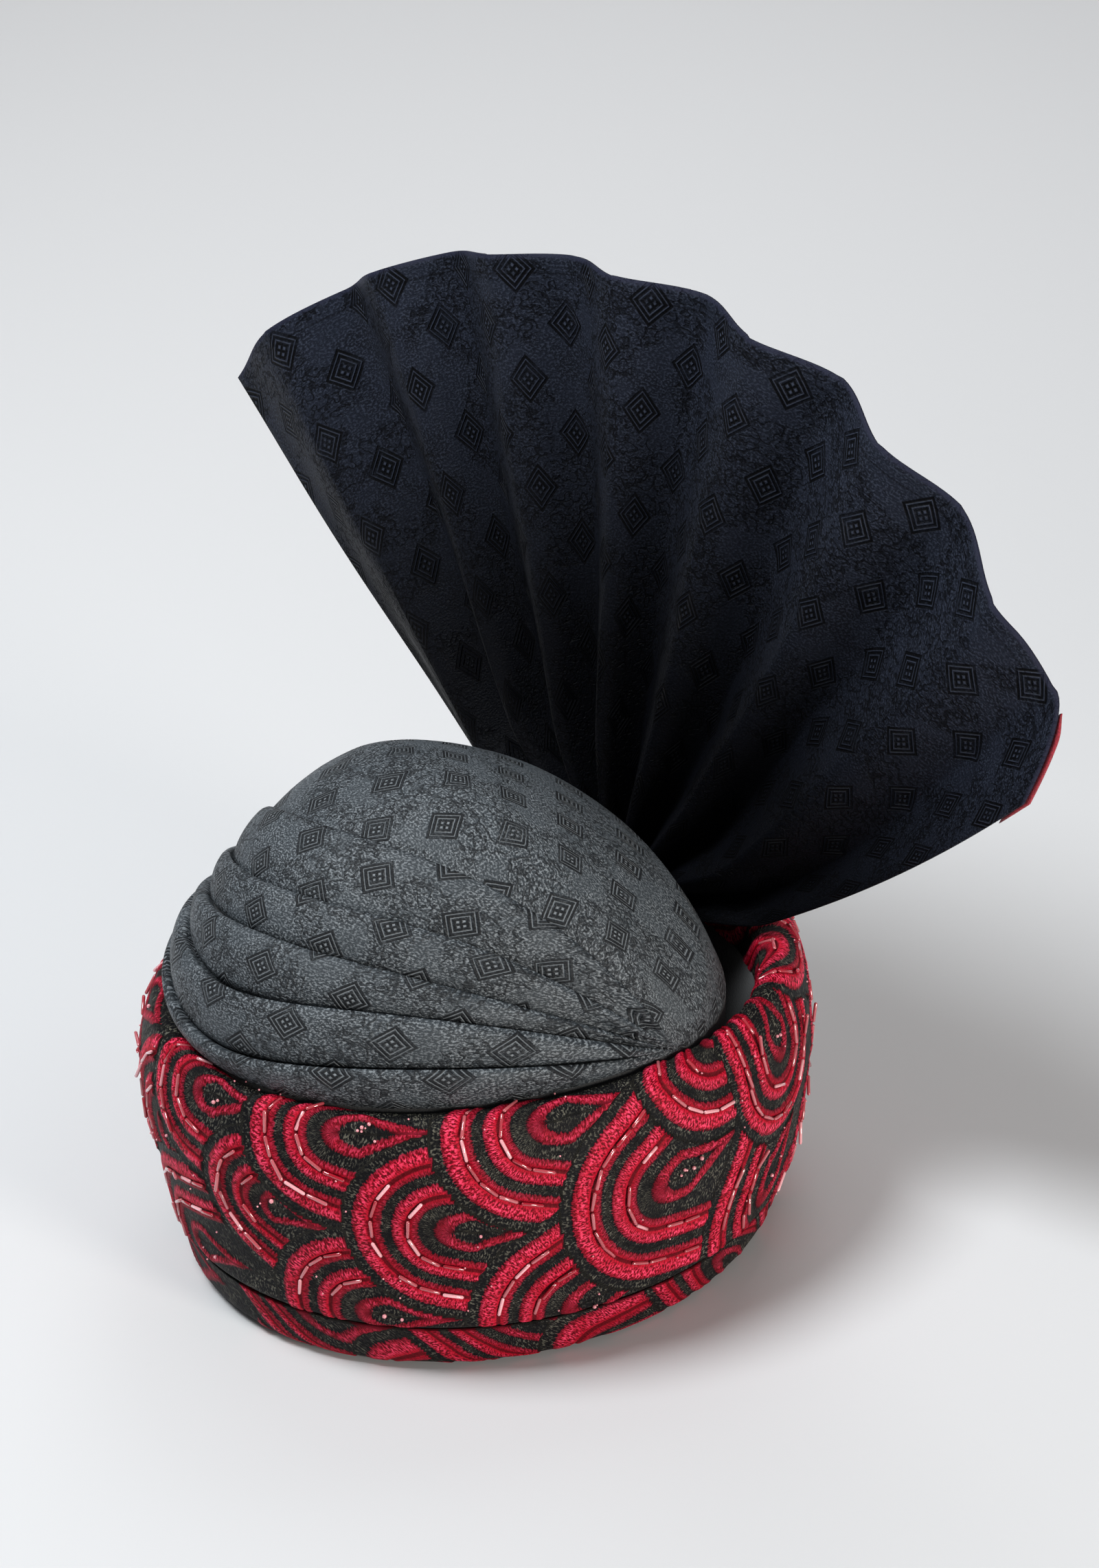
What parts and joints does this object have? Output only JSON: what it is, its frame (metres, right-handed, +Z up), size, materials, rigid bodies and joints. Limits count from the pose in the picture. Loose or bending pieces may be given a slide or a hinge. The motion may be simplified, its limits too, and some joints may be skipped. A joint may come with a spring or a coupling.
{
  "type": "turban",
  "caption": "Ready-made turban: wound crown with side-gathered folds, padded embroidered band with a turned-under wrap, and a tall pleated fan tucked in at the back.",
  "frame": {"origin": "middle of the head opening, on the plane of the lower rim that the turban stands on", "axes": "+Z up towards the crown's top, -Y towards the wearer's front (the brow), +X towards the wearer's left"},
  "size_m": [0.4494, 0.2699, 0.3505],
  "materials": {
    "crown_cloth": "slate grey jacquard with tone-on-tone diamonds",
    "fan_cloth": "near-black navy jacquard, stiffened",
    "band_embroidery": "dark ground with crimson and olive-black chenille cords in scale motifs, glass bugle beads",
    "wrap_embroidery": "same embroidered cloth, turned under",
    "edging_cloth": "matt red strip"
  },
  "bodies": {
    "root": {"crown": "crown_cloth", "band": "band_embroidery", "band_lower_wrap": "wrap_embroidery", "fan": "fan_cloth", "fan_edging": "edging_cloth"}
  },
  "joints": []
}
